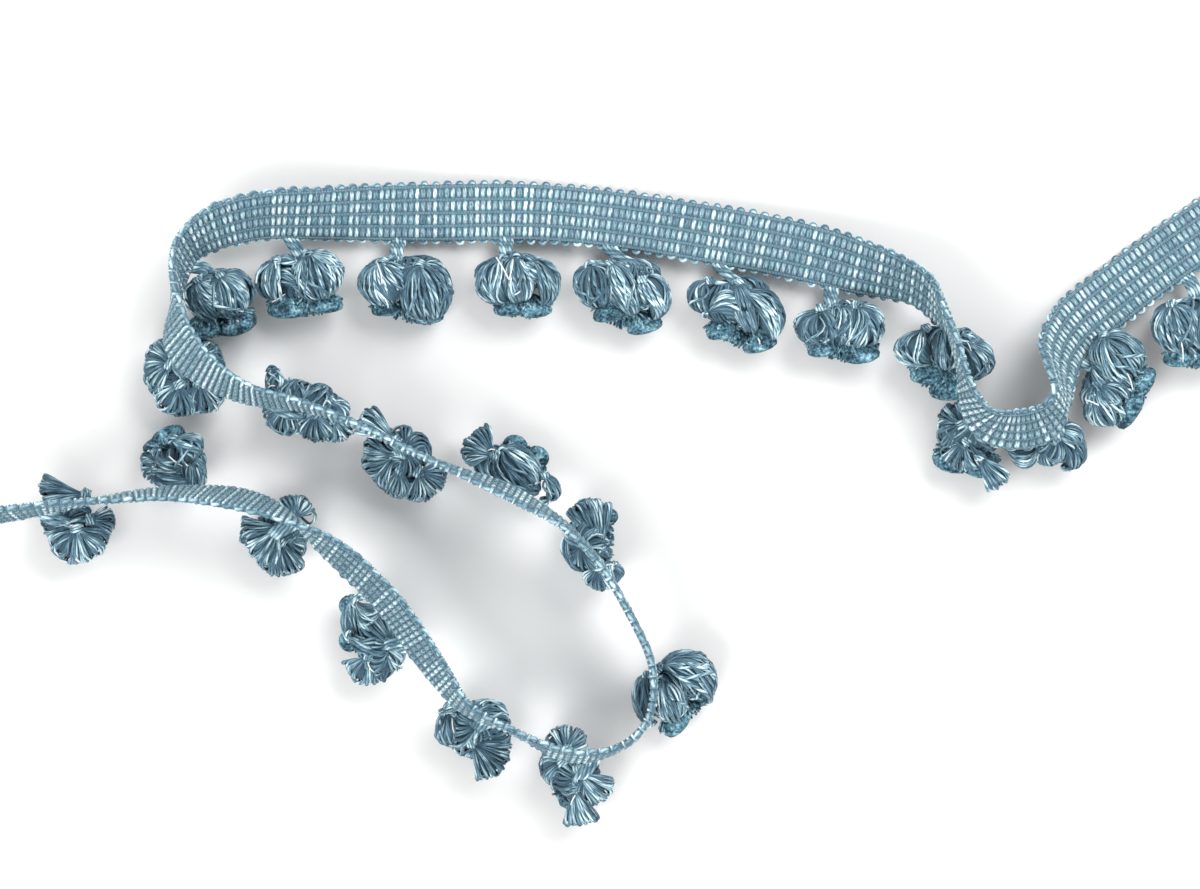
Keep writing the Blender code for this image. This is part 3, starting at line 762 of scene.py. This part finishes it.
# each lobe: its upper tie, its lower tie (mm across, along, to the front, from the pompom's tie),
# how far its loops bulge across and to the front (mm), which way they lie about the ties' line,
# half of the fan they fill (degrees), and their twist (radians)
lobeColumns = ("size", "depth", "lie", "fan", "twist")
lobeRows = {
    1: (
        (-6.1, 2.9, 5.3, -3.2, 13.8, 1.9, 6.6, 7.4, 78, 175, 0.2),
        (2.8, 3.5, 3.4, 3.5, 14.1, 0.3, 6.4, 7.4, 82, 175, -0.3),
        (-3.2, 12.9, 2.9, -2.8, 17.5, 1.2, 3.4, 4.5, -5, 60, 0),
    ),
    2: (
        (7.5, -0.1, 6.5, 3.9, 10.9, 1.3, 6.2, 7.4, 107, 175, 0.3),
        (-3.2, 4.7, 4.6, -4.1, 10.5, 0.2, 5.8, 6.6, 106, 175, -0.3),
        (0.7, 2.5, 3.6, 0.5, 12, 1.9, 3.2, 5.5, 98, 110, 0.2),
        (-6.8, 5.5, 3.6, -9, 12.8, -0.5, 4.2, 6, 107, 175, 0.3),
    ),
    3: (
        (-11.8, 7.8, 0.2, -5, 6.1, 1.5, 5.6, 5.5, -113, 65, 0),
        (1.5, 4.8, 0.2, 2.5, 10.2, 6.6, 5.8, 5.5, 2, 75, 0),
        (0.1, 2.4, -1.2, 3.8, 5.3, 3, 4.6, 5, -8, 85, 0),
        (-2.6, 5.2, 2.2, -1.2, 13.5, 2.7, 3.6, 3.6, 98, 75, 0),
        (-5.4, 3.2, -2.2, -3.9, 12.4, -2.4, 6.5, 6.5, -114, 80, 0.3),
    ),
    4: (
        (-3.3, 3, 2.7, -1.3, 9.1, -4.7, 6.9, 6.9, 170, 85, 0),
        (-1.6, 6.4, 4.2, 0.3, 13.1, -3.4, 7.2, 7, 97, 55, 0),
        (2.6, 9.3, 6, 4.7, 15.3, -0.8, 8.4, 8.4, 48, 24, 0),
        (0.1, 3.8, 0.3, 1.8, 8.9, -6, 5, 5, -40, 70, 0),
    ),
    5: (
        (-5.1, 0.8, 6.4, -3.4, 9.5, 5, 9, 6.4, 177, 68, 0),
        (0, 0.9, 5, -0.6, 10.9, 2.9, 4.4, 7.6, 87, 115, 0.3),
        (3.9, 5, 6.1, 4.9, 14.1, 2.8, 7.2, 6.6, -2, 70, 0),
        (3.5, 2.6, 7, 6.6, 5.8, 5, 2.2, 3, 61, 175, 0),
    ),
    6: (
        (-3, 2.3, 4.3, -3.6, 9.4, 2, 7.2, 6.2, -171, 70, 0),
        (-3.3, 1.4, 5.2, -3.3, 8.8, 4, 3.2, 4.6, 8, 55, 0),
        (6.2, 2.4, 4.1, 5.6, 11.9, 1.1, 6.4, 7.2, 97, 175, 0.1),
        (2.6, 1.6, 2.7, 1.8, 10.2, 0.5, 3.4, 6.8, 97, 110, 0.2),
    ),
    7: (
        (-7.1, 8.4, 5.1, -0.2, 13.3, 3.5, 8, 6.2, -25, 70, 0),
        (-4.6, 0.9, 4, -7.4, 8.4, 2, 5, 5.4, 178, 85, 0),
        (2.5, 3.2, 4.3, 3, 15.7, 1.2, 3.2, 7.4, 81, 110, 0.1),
        (2.9, 6, 4.5, 5.7, 19.6, 1.2, 7.6, 6.8, -10, 75, 0),
    ),
    8: (
        (-7.3, 0.9, 2.7, -6.5, 11.1, -0.4, 5.2, 6.6, 95, 175, 0.5),
        (-2.1, 1.7, 4.3, 0.7, 15.5, 1.8, 4, 7.8, 93, 115, 0.6),
        (5.2, 6.7, 4.5, 4.8, 17.8, 2.4, 6, 6.6, 10, 80, 0),
        (4.3, 7.8, 7.1, 3.7, 13.7, 6, 2.4, 2.6, 98, 175, 0),
    ),
    9: (
        (-2.3, 2.7, 3.9, -1.1, 13.7, 1.8, 8.2, 6.8, 178, 75, 0),
        (4.6, 3.6, 3.6, 6.5, 15, 1.5, 6.2, 6.8, -2, 75, 0),
        (0.9, 2.3, 4.7, 0.9, 13.3, 1.7, 4, 6.2, 87, 115, 0.2),
        (4.7, 5, 6.8, 7, 7.8, 5.9, 1.6, 2, 73, 175, 0),
    ),
    10: (
        (2.9, 3.6, 7.8, 5.5, 16.7, -0.3, 6.8, 7.2, 95, 178, 0.2),
        (-6, 2.2, 3.6, -4.5, 12.4, -0.4, 6.4, 6.8, 97, 175, -0.7),
        (-1.5, 2.5, 2.3, -0.6, 11.3, 0.2, 2.6, 6, 99, 110, 0.3),
    ),
    11: (
        (2.5, 0.1, 4, 6.1, 10.5, 0.6, 6.5, 7.4, 75, 176, 0.3),
        (-5.8, 8, 4.9, 0.1, 9, 4.3, 5.4, 5.4, -39, 75, 0),
        (-5.2, 1.3, 5.1, -4.6, 10.9, 2, 5.6, 6.2, 174, 100, 0.3),
        (-4.4, 1.5, 6.5, -1, 2.4, 5.7, 1.8, 2.6, -50, 70, 0),
    ),
    12: (
        (2.5, 2.8, 4.9, 3.5, 13.1, 3, 6, 7.2, 93, 150, 0.2),
        (-3.2, 2.5, 3.3, -1.6, 12.2, 2.4, 5.6, 6.6, 92, 150, -0.3),
    ),
    13: (
        (-1.4, 0.1, -2.6, -2.7, 11.1, -3.5, 7.2, 7.2, -148, 88, 0),
        (-0.8, 1.8, 2.8, -1.9, 12.4, 2.2, 7.4, 7.4, 142, 68, 0),
        (3.9, 2, 4, 2.4, 12.5, 3.2, 7.4, 7.4, 80, 75, 0),
        (4.6, 4.3, -1.1, 3.6, 11.8, -1.5, 7.2, 7.2, -20, 80, 0),
    ),
    14: (
        (4.5, 3, 2.6, 3.9, 8.3, -6.1, 6.6, 6.6, -74, 75, 0),
        (-3.1, 2.5, 2.1, -3.4, 8.1, -6.3, 6.2, 6.2, -103, 60, 0),
        (-7.8, 3.3, 1.5, -7.9, 8.4, -6, 5.4, 5.4, -140, 60, 0),
        (-5.8, 6.1, 4, -7.7, 5.1, -0.9, 4.6, 4.6, 168, 75, 0),
        (8.7, 6, 2.6, 10.7, 11, 4.4, 2.3, 2.6, 82, 175, 0),
        (3.9, 4.1, 2.3, 6, 10.6, 0, 2.8, 4.2, 71, 100, 0),
    ),
    15: (
        (-3.6, 1.7, 0.2, -5.3, 10.7, -0.6, 10.2, 9.6, 168, 27, 0),
        (-0.4, 2.1, 2.6, 0.2, 12.3, 2.6, 8.6, 7.8, 117, 58, 0),
        (2.8, 3.3, 3.5, 3.4, 12.4, 3.3, 6.6, 6.6, 59, 50, 0),
        (6.4, 2.8, 0.6, 6.8, 11.8, 0.2, 6.8, 6.8, -4, 70, 0),
    ),
    16: (
        (4.9, 5.1, 4.9, 5.9, 11.4, -1.6, 7.8, 7.4, 0, 52, 0),
        (3.6, 7.5, 5.7, -7.9, 6.4, 0.7, 4.8, 6.2, -124, 175, 0.3),
        (-9.1, 7.8, 4.7, -12.1, 5.6, -0.1, 3.8, 4, 167, 75, 0),
        (-2.6, 8.6, 1.3, -3.5, 12.1, -3.7, 6, 6, 51, 90, 0),
    ),
    17: (
        (-2.5, 5, 3.9, -2.1, 12.2, 0.3, 13, 11.5, 4, 31, 0),
        (4.2, 4.1, -1.6, -5.9, 7.3, -2, 2.8, 5, -116, 90, 0),
        (-6.5, 4.9, 1.7, -7.7, 10, -1.4, 5, 4.6, -137, 55, 0),
        (-7.3, 7.2, 3.8, -10.6, 9.4, 1.5, 2.4, 3.2, -157, 175, 0),
    ),
    18: (
        (1.3, 0.2, 3.1, 3.5, 15.5, 3.3, 8.8, 7.4, -3, 80, 0),
        (-0.5, 2.8, 2.9, -5.6, 12.1, 2.1, 4.8, 6.2, 103, 175, 0.4),
        (4.1, 4.4, 3.5, 2.3, 11.2, 4.9, 1.8, 3.2, 92, 140, 0),
        (-2.2, 0, 0.9, -10.7, 8.9, 0.9, 4, 5.4, -166, 90, 0),
    ),
    19: (
        (-1.8, 2.4, 0.8, -0.8, 10.6, -3, 9.6, 8.8, -37, 30, 0),
        (2, 3.1, 2.5, 3.5, 11.4, -1, 9.8, 9, 5, 30, 0),
        (-4.9, 4.5, 3.1, -3, 13.2, 0.8, 5.6, 5.6, 72, 80, 0),
        (-7.6, 5.7, 1, -8.1, 12.1, -2, 5.4, 5.4, -175, 90, 0),
    ),
    20: (
        (1.6, 3.9, 4.3, 4, 13.3, 1.1, 9.6, 9, -13, 62, 0),
        (-2.6, 4.5, 0.2, 5.1, 6.5, -6, 5.8, 5.4, -146, 80, 0),
        (-7.2, 5.2, 2.2, -2.3, 9.8, 6.1, 3.9, 4.6, 70, 175, 0),
        (-8.7, 6.4, 2.5, -4.1, 4.8, -1.8, 3, 4, 180, 75, 0),
        (-0.7, 7, 1.3, 0.8, 14, 0.2, 6, 6, 102, 80, 0),
    ),
    21: (
        (-10.4, 9.2, 5.6, -10, 5.5, 0.6, 7.6, 5.6, 0, 75, 0),
        (3.6, 5.9, 3.8, 5.3, 12.4, -2.5, 6.4, 6.4, 0, 85, 0),
        (0, 4.6, 1, 5.5, 6.3, -4.3, 4.2, 5.4, -36, 175, 0.2),
        (-1.5, 11, 6, -0.8, 5, 0, 4.2, 5.4, 0, 85, 0),
        (-11.4, 9.6, 4.6, 0.1, 11.9, 2.7, 1.5, 4, 95, 80, 0),
    ),
    22: (
        (1.7, 0.3, -1.7, 0.3, 11.7, -0.8, 9.4, 9, 127, 52, 0),
        (3, 2, 1.7, 2.9, 12.6, 1.8, 7.6, 7.6, 68, 50, 0),
        (4.2, 2.7, 0, 4.8, 11.8, 0.1, 4.4, 4.4, 10, 60, 0),
        (3.8, 2.7, -5.6, 2.8, 10.5, -7.4, 5.2, 5.2, -100, 80, 0),
    ),
    23: (
        (-2.2, 11.6, 7.8, -2.4, 5.6, 4.5, 6.6, 6.2, -177, 80, 0),
        (2.8, 10.2, 5.4, -2.4, 5.6, 4.5, 3.4, 4.4, 0, 75, 0),
        (2.6, 8.1, 4, 4.5, 9.4, -3.9, 5.2, 5.2, 20, 70, 0),
        (-4.4, 6.3, 4.6, -2.8, 0.9, -1.7, 3.2, 4.4, -82, 175, 0.3),
        (5.1, 7, 3.7, -1.7, 2.3, -0.3, 2.6, 4.4, -112, 140, 0.2),
    ),
    24: (
        (-3, 1.2, 2.8, -4.2, 11.6, -1.2, 7.8, 7.8, -146, 82, 0),
        (-3.1, 4, 6.2, -4, 12.5, 3.1, 5.8, 5.8, 147, 65, 0),
        (2.8, 4.6, 9, 3.2, 12.1, 5.8, 11.8, 10, -50, 21, 0),
        (3.3, 4.9, 0.8, 3.3, 12.3, -2.7, 5, 5, -62, 60, 0),
    ),
}
tieRows = {       # the white tie threads: their two ends (mm across, along, to the front)
    1: ((-4.1, 11.9, 10, -3.7, 17.5, 7.4),),
    2: ((-9.1, 3.7, 6.3, -8.6, 9, 5.5), (1.8, 9.3, 9, -1, 12.9, 7.7),),
    3: ((-4.4, 8.8, 4.9, -3.4, 7.7, 4.5), (5, 3.7, 5, 6.1, 3.7, 4.8),),
    4: ((1.5, 10.3, 6.7, 3.6, 9, 7),),
    5: ((-6, 2.5, 10.6, -6.5, 6, 11), (5.1, 4.6, 9, 6, 7.2, 9.2),),
    6: ((3.2, 0.1, 7.7, 4, 1.2, 7.9),),
    7: ((4.2, 17.8, 7.3, 4.2, 19.5, 6.5),),
    9: ((-3.7, 1.8, 8.9, -0.7, 7.8, 10.3), (0.6, 2.6, 8.8, -0.7, 7.8, 10.3),
        (0.3, 11.8, 9.6, 1.9, 10.9, 9.4),),
    10: ((-7.8, 1.9, 7.3, -7.3, 7.4, 8.9), (-6.7, 11.6, 6.3, -6, 13.8, 5.6),),
    11: ((-5, 1.3, 9.1, -4.1, 9, 9.8), (-6.5, 11.7, 7.4, -3.2, 9.8, 6.8),),
    12: ((-8.7, 5.2, 7.5, -8.8, 8.5, 7.1), (2.7, 14.5, 8.4, 3, 15.1, 8.5),),
    14: ((-4.8, 4.9, 5.7, -4.6, 2.5, 3.5), (10.5, 4.9, 4.3, 8.9, 5.6, 5),),
    15: ((-9.7, 3.1, 2.6, -8.4, 3.1, 2.3),),
    16: ((6.9, 4.7, 5.9, 5.5, 5.5, 6.6), (-7.2, 3.9, 2.5, -8.1, 4.8, 4.6),),
    17: ((-6.4, 3.8, 3.9, -7, 5.1, 6.1),),
    18: ((-3.9, 2, 4.8, -9, 6, 6.3),),
    19: ((3.9, 1.3, 3.4, 6.1, 2.9, 4.6),),
    20: ((-6.3, 1.4, 3.6, -3.5, 2.3, 6), (-8.4, 4.2, 5.2, -4.4, 6.3, 8.2),),
    21: ((-8, 6, 6.7, -8, 4.5, 5.2), (4.8, 4.6, 5.3, 7.4, 4.2, 3.4),),
    23: ((0, 7.6, 10, -2, 3.9, 9.2), (-2.9, 5.1, 8.4, -3.3, 3.5, 8.1),),
    24: ((-1.4, 0.1, 2.2, -2.4, 0.2, 2.7),),
}
footRows = {                    # where its two tufts of cut yarn begin, and how far they reach (mm)
    1: ((-4.3, 13.5, 2.1, 5.8), (3.4, 13.8, 1.3, 6.2)),
    2: ((-4.3, 10.9, 1.2, 7.4), (3.1, 11.3, 2.2, 6.2)),
    5: ((-4.9, 8.6, 3.1, 6.7), (0.3, 12.5, 3.1, 7.4)),
    6: ((-3.5, 8.5, 1, 5.8), (5.7, 11.4, 2.1, 6.2)),
    7: ((-4.4, 10.3, 1.9, 6.1), (3.6, 16.2, 1.3, 6)),
    8: ((-4.9, 10.4, 0.9, 6.1), (2.9, 15.6, 1.1, 6.2)),
    9: ((-1.4, 11.9, 1.7, 5.9), (4.8, 12.9, 1.5, 5.8)),
    10: ((-5.7, 11.2, 0.4, 5.2), (4.9, 14.5, -0.5, 5.3)),
    11: ((-3.6, 9.7, 1.8, 7), (6.1, 9.7, 0.6, 6)),
    12: ((-5, 11.1, 1.1, 6.7), (2.7, 12.1, 3, 7)),
    14: ((6.7, 8.4, -0.7, 3.6), (-2.6, 9.2, 0.1, 4.2)),
    16: ((1.5, 11.5, 2.5, 4.4), (-4.7, 11.9, 2.9, 4.2)),
    17: ((4.9, 11.3, 6.9, 3.4), (-9.6, 8.8, -3.5, 3.8)),
    18: ((-6.3, 11.1, 0.7, 5.8), (3.8, 13, 1.3, 4)),
    19: ((-1.4, 11.3, 4, 4.2), (5.5, 11.7, 2.4, 3)),
    21: ((-9.1, 13, 3.8, 3.6), (-0.1, 12.6, 3.4, 3.8)),
    23: ((-1.3, 10.7, 2.7, 5.8), (2.5, 10.9, 0.7, 5)),
}


def strandTones(rng, count, light=pompom["tones"]["light"]):
    # a ply pair for each strand: pale ones gather in groups, the others keep from slate to sky
    look = pompom["tones"]
    crowd = drift(rng, count, np.arange(0, count + look["group"], look["group"]), 0, 2 * light)
    first, second = (drawTones(rng, rng.uniform(size=count) < crowd, *spans)
                     for spans in look["plies"])
    return np.stack([first, second * (1 - look["mix"]) + first * look["mix"]], axis=1)


def readLobe(row):
    # a lobe's numbers by name, with the way from its upper to its lower tie (chord) and the two
    # ways its loops bulge: aside = across made square to the chord, front = aside x chord
    lobe = dict(zip(lobeColumns, row[6:]))
    lobe["upper"], lobe["lower"] = upper, lower = np.array(row[:3]), np.array(row[3:6])
    lobe["chord"] = chord = unit(lower - upper)
    lobe["aside"] = unit(np.array([1.0, 0.0, 0.0]) - chord[0] * chord)
    lobe["front"] = np.cross(lobe["aside"], chord)
    return lobe


def placed(body, local):
    # local (across, along, front) places to metres in the scene
    return (body["tie"] + local @ np.stack([body["wide"], body["axis"], body["deep"]])) * mm


def loopPoints(lobe, angle, t, full, share):
    # from upper to lower tie by (1 - cos(pi t)) / 2, drawn in by the share's nest, plus
    # share * full * (size * cos(angle) * aside + depth * sin(angle) * front)
    blend = 0.5 + ((1 - np.cos(np.pi * t)) / 2 - 0.5) * raised(pompom["nest"], share)
    grown = share * full
    out = lobe["size"] * np.cos(angle) * grown
    off = lobe["depth"] * np.sin(angle) * grown
    line = lobe["upper"] + (lobe["lower"] - lobe["upper"]) * blend[..., None]
    return line + out[..., None] * lobe["aside"] + off[..., None] * lobe["front"]


def addFilling(store, rng, body, lobe, dim=1.0):
    # the filled inside of a lobe: a slice of a ball between its ties, under the outer strands;
    # its rings go round the fan and, where it is not full, back through the ties' line
    look = pompom["filling"]
    fan = np.radians(lobe["fan"])
    whole = lobe["fan"] > look["whole"]
    girth = (lobe["size"] + lobe["depth"]) * min(fan, np.pi)
    sides = max(8, round(girth / look["sideStep"]))
    if whole:
        angle = np.linspace(-np.pi, np.pi, sides, endpoint=False)
    else:
        angle = np.linspace(-fan, fan, sides) * look["fanShare"]
    t = np.linspace(*look["between"], look["rings"])[:, None]
    full = np.sin(np.pi * t) ** look["roundness"] * np.ones(sides)
    if not whole:
        spine = np.full((len(t), 1), look["spine"])
        angle, full = np.append(angle, 0.0), np.append(full, spine, axis=1)
    turned = np.radians(lobe["lie"]) + angle + lobe["twist"] * (t - 0.5)
    points = placed(body, loopPoints(lobe, turned, t, full, look["size"]))
    plies = rng.uniform(*look["tones"], (1, 1, len(angle), 2))
    # painted shade: the filling is darker than the loops over it, most of all at the ties
    shade = dim * raised(look["paintedShades"], np.sin(np.pi * t) ** pompom["shadePower"])
    cycles = round(girth / look["strand"])
    store.addRings(points[None], t.T * girth / look["twist"], cycles, plies, shade[None], 0)


def addLobe(store, rng, body, lobe, dim=1.0):
    # loops of yarn from one tie to the other, in locks that differ in size, twist and bow:
    # angle = lie + place in the fan + twist * (t - 1/2) + sway * sin(2 pi t), and
    # full = sin(pi t) ^ fullness
    look = pompom["loops"]
    fan = np.radians(lobe["fan"])
    crowding = look["narrowCrowding"] if lobe["fan"] < look["narrow"] else 1.0
    count = max(5, round((lobe["size"] + lobe["depth"]) * fan / look["spacing"] * crowding))
    t = np.linspace(0, 1, look["rings"])
    rise, swing = np.sin(np.pi * t), np.sin(2 * np.pi * t)
    rough = look["flatRough"] if lobe["fan"] < look["flat"] else look["rough"]
    loose = min(1.0, fan / look["looseFan"])
    stray = rng.uniform(size=(count, 1)) < look["strays"]
    # neighbouring loops gather in locks of 4 to 6
    lock = (np.arange(count) + rng.integers(0, 4)) // rng.integers(4, 7)
    locks = lock.max() + 1
    angle = np.linspace(-fan, fan, count)
    members = [angle[lock == one] for one in range(locks)]
    lockAngle = np.array([some.mean() if len(some) else 0 for some in members])[lock]
    angle = np.radians(lobe["lie"]) + lockAngle + (angle - lockAngle) * look["lockWidth"]
    angle = angle + loose * rng.normal(0, look["angleNoise"], count)
    lockSize, lockTwist, lockBow, lockFull = rng.normal(0, 1, (4, locks))[:, lock][:, :, None]
    twist = lobe["twist"] + look["lockTwist"] * loose * lockTwist
    sway = loose * (look["sway"] + look["straySway"] * stray) * rng.normal(0, 1, (count, 1))
    angle = angle[:, None] + twist * (t - 0.5) + sway * swing
    fullness = look["fullness"] + look["lockFull"] * rough * lockFull
    full = rise ** np.clip(fullness, *look["fullnessLimits"])
    size = 1 + rough * lockSize + look["straySize"] * stray * loose
    size = size + rng.normal(0, look["sizeNoise"], (count, 1))
    lines = loopPoints(lobe, angle, t, full * size, 1.0)
    bow = look["lockBow"] * lockBow + rng.normal(0, look["bowNoise"], (count, 1))
    lines = lines + (bow * rise)[..., None] * lobe["chord"]
    radii = look["strand"] * raised(look["radii"], rise) * rng.uniform(*look["uneven"], (count, 1))
    # painted shade: darker toward the ties and darker again on the inner lobe, times a random tone
    # per loop
    shade = dim * raised(look["paintedShades"], rise ** pompom["shadePower"])
    shade = shade * rng.uniform(*look["shadeSpan"], (count, 1))
    tones = strandTones(rng, count)
    store.add(placed(body, lines), radii * mm, body["axis"], tones, shade, pitch=look["twist"])


def addTies(store, rng, body, lobe):
    # yarn wound about each end of a lobe, point = tie + radius * (cos a * aside + sin a * front),
    # under a knot of three short strands that bows outward by rise - fall * s^2
    look = pompom["ties"]
    aside, front = lobe["aside"], lobe["front"]
    a = np.linspace(0, 2 * np.pi * look["turns"], look["steps"])[:, None]
    s = np.linspace(-1, 1, look["knotSteps"])[:, None]
    ends = ((lobe["upper"], -lobe["chord"]), (lobe["lower"], lobe["chord"]))
    for (place, outward), radius in zip(ends, look["wraps"]):
        wrap = place + radius * np.cos(a) * aside + radius * np.sin(a) * front
        # painted shade: the wraps are darkened to 0.8, the knots below to 0.95
        store.add(placed(body, wrap)[None], look["yarn"] * mm, body["axis"], [look["tones"]], 0.8)
        turn = rng.uniform(0, np.pi)
        over = np.cos(turn) * aside + np.sin(turn) * front
        beside = np.cos(turn) * front - np.sin(turn) * aside
        bow = outward * (look["knotRise"] - look["knotFall"] * s * s)
        knot = [place + look["knotHalf"] * s * over + bow + shift * beside
                for shift in look["knotShifts"]]
        tones = strandTones(rng, len(knot), look["knotLight"])
        side = body["axis"] + 0.1
        store.add(placed(body, np.array(knot)), look["knotYarn"] * mm, side, tones, 0.95)


def addBrush(store, rng, body, feet, spread):
    # cut yarn below the feet: strands flare from each foot, and some from between the two, in a
    # cone and end on a low dome, over a knobbly body: radius = reach * outline
    look = pompom["brush"]
    count = 2 * look["tufts"]
    between = rng.uniform(size=count) < look["between"]
    share = np.where(between, rng.uniform(0.1, 0.9, count), np.arange(count) % 2)[:, None]
    foot = np.array(feet[0]) * (1 - share) + np.array(feet[1]) * share
    reach = foot[:, 3:] * (1 + look["middleReach"] * np.sin(np.pi * share))
    startX, startY, startZ = foot[:, :3].T[:, :, None]
    lean = np.arccos(rng.uniform(np.cos(np.radians(spread)), 1, count))[:, None]
    turn = rng.uniform(0, 2 * np.pi, (count, 1))
    length = reach * rng.uniform(*look["lengths"], (count, 1))
    length = length * (1 - look["dome"] * np.sin(lean) ** 2)
    t = np.linspace(0, 1, len(look["radii"]))
    far = np.sin(lean) * length * t ** look["flare"]
    sway = rng.normal(0, look["sway"], (count, 2, 1)) * t
    across = startX + far * np.cos(turn) + sway[:, 0]
    down = startY - look["root"] + (np.cos(lean) * length + look["root"]) * t
    frontal = startZ * (1 - look["inward"] * t) + far * np.sin(turn) * look["flat"] + sway[:, 1]
    lines = np.stack([across, down, frontal], axis=2)
    radii = look["strand"] * np.array(look["radii"]) * rng.uniform(*look["uneven"], (count, 1))
    # painted shade along each strand, darkest at its root, times a random tone per strand
    shade = np.array(look["paintedShades"]) * rng.uniform(*look["shadeSpan"], (count, 1))
    tones = np.repeat(rng.uniform(*look["tones"], (count, 1)), 2, axis=1)
    store.add(placed(body, lines), radii * mm, body["wide"], tones, shade, 3, 3.0, kind=2)
    steps = np.array(look["bodySteps"])
    widest = np.sin(np.radians(spread))
    for x, y, z, reach in feet:
        drawnIn = z * (1 - look["inward"] * steps)
        line = np.stack([np.full(len(steps), x), y + reach * steps, drawnIn], axis=1)
        radii = reach * widest * np.array(look["bodyRadii"]) * mm
        line, tones = placed(body, line)[None], [(0.5, 0.5)]
        # the body carries painted shade 0.8
        store.add(line, radii[None], body["wide"], tones, 0.8, 16, kind=2)


def addThreads(store, rows, body):
    # white tie threads lie loosely between their two ends: straight, plus sag * sin(pi t)
    look = pompom["threads"]
    t = np.linspace(0, 1, look["steps"])[:, None]
    for row in rows:
        start, end = np.array(row[:3]), np.array(row[3:])
        line = start + (end - start) * t + np.sin(np.pi * t) * np.array(look["sag"])
        side = body["wide"] + 0.1
        store.add(placed(body, line)[None], look["radius"] * mm, side, [(1.0, 1.0)], 1.0, 4, kind=1)


def addNeck(store, rng, along, number, body, tops):
    # four yarns side by side on a cubic from the braid's edge to the fork, then two to each upper
    # tie: point = (1-t)^3 start + 3t(1-t)^2 handle + 3t^2(1-t) handle + t^3 fork, shifted aside
    look, axis = pompom["neck"], body["axis"]
    place = np.array([along + look["shifts"].get(number, 0.0)])
    middle, travel, across, front = (values[0] for values in braidDirections(place))
    start = middle + across * (braid["width"] / 2 - look["root"])
    aside, down = look["forkShifts"].get(number, (0, 0))
    forkAlong, forkFront = look["fork"]
    fork = body["tie"] + axis * (forkAlong + down) + body["deep"] * (forkFront + down)
    fork = fork + travel * aside
    reach = np.linalg.norm(fork - start) * look["handle"]
    t = np.linspace(0, 1, look["steps"])[:, None]
    handles = (start, start + across * reach, fork - axis * reach, fork)
    weights = ((1 - t) ** 3, 3 * t * (1 - t) ** 2, 3 * t**2 * (1 - t), t**3)
    line = sum(weight * handle for weight, handle in zip(weights, handles))
    direction = unit(np.gradient(line, axis=0))
    broad = unit(travel - dot(travel, direction) * direction)
    tops = sorted(tops, key=lambda top: np.dot(top - body["tie"], broad[-1]))
    narrowing = np.linspace(1.0, look["narrow"], look["steps"])[:, None]
    for shift, topNumber, tone in look["yarns"]:
        path = line + broad * shift * narrowing + front * rng.normal(0, look["wander"])
        onward = (tops[topNumber] - path[-1]) * np.array(look["endShares"])[:, None]
        ends = path[-1] + onward + axis * np.array(look["endLifts"])[:, None]
        path = np.concatenate([path, ends])
        means = (tone, look["secondTone"])
        tones = [[mean + rng.normal(0, noise) for mean, noise in zip(means, look["toneNoise"])]]
        store.add(path[None] * mm, look["yarn"] * mm, broad[-1], tones, 0.95, 6, look["twist"])


def buildPompom(number, row):
    # lobes and their fillings round an inner one, a brush, threads and a neck, about an axis that
    # points down at the tilt: axis = (cos tilt * bearing, -sin tilt)
    pom = dict(zip(pomColumns, row))
    rng = np.random.default_rng(pompom["seed"] + number)
    azimuth, tilt, spin = np.radians([pom["azimuth"], pom["tilt"], pom["spin"]])
    axis = np.array([np.cos(tilt) * np.cos(azimuth), np.cos(tilt) * np.sin(azimuth), -np.sin(tilt)])
    side = np.array([-np.sin(azimuth), np.cos(azimuth), 0.0])
    wide = np.cos(spin) * side + np.sin(spin) * np.cross(axis, side)
    middle = np.array([pom["x"] - view["middle"][0], pom["y"] - view["middle"][1], pom["z"]])
    tie = middle - axis * (pom["drop"] / 2 + pompom["tieRise"] * np.cos(tilt))
    body = {"axis": axis, "wide": wide, "deep": np.cross(axis, wide), "tie": tie}
    store = StrandStore()
    lobes = [readLobe(lobeRow) for lobeRow in lobeRows[number]]
    for lobe in lobes:
        addFilling(store, rng, body, lobe)
        addLobe(store, rng, body, lobe)
        addTies(store, rng, body, lobe)
    # where a pompom hangs upright its inner lobe and its brush are narrower
    upright = pom["tilt"] > pompom["upright"]
    look = pompom["inner"]
    size, depth = look["widths"][upright] * pom["width"], look["depth"] * pom["depth"]
    shape = (size, depth, look["lie"], look["fan"], look["twist"])
    inner = readLobe((0, look["top"], 0, 0, look["drop"] * pom["drop"], 0, *shape))
    addFilling(store, rng, body, inner, look["insideShades"][0])
    addLobe(store, rng, body, inner, look["insideShades"][1])
    aside, down, reach = (pompom["foot"][key] for key in ("aside", "down", "reach"))
    feet = [(share * pom["width"], down * pom["drop"], 0.0, reach * pom["drop"])
            for share in (-aside, aside)]
    addBrush(store, rng, body, footRows.get(number, feet), pompom["brush"]["spreads"][upright])
    addThreads(store, tieRows.get(number, ()), body)
    tops = sorted((lobe["upper"] for lobe in lobes), key=lambda top: top[1])[:2]
    addNeck(store, rng, pom["along"], number, body, [placed(body, top) / mm for top in tops])
    piece = store.build(f"pompom{number:02d}", [yarn, thread, pile])
    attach(piece, "root")
    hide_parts(f"hanger_{number:02d}", f"pompom_{number:02d}")
    return piece


pompoms = [buildPompom(number, row) for number, row in enumerate(pomRows, start=1)]
print("pompoms built:", len(pompoms))

braidPiece, picotPiece = buildBraid(), buildPicots()
for piece in (braidPiece, picotPiece):
    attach(piece, "root")
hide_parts("heading")
print("braid built")
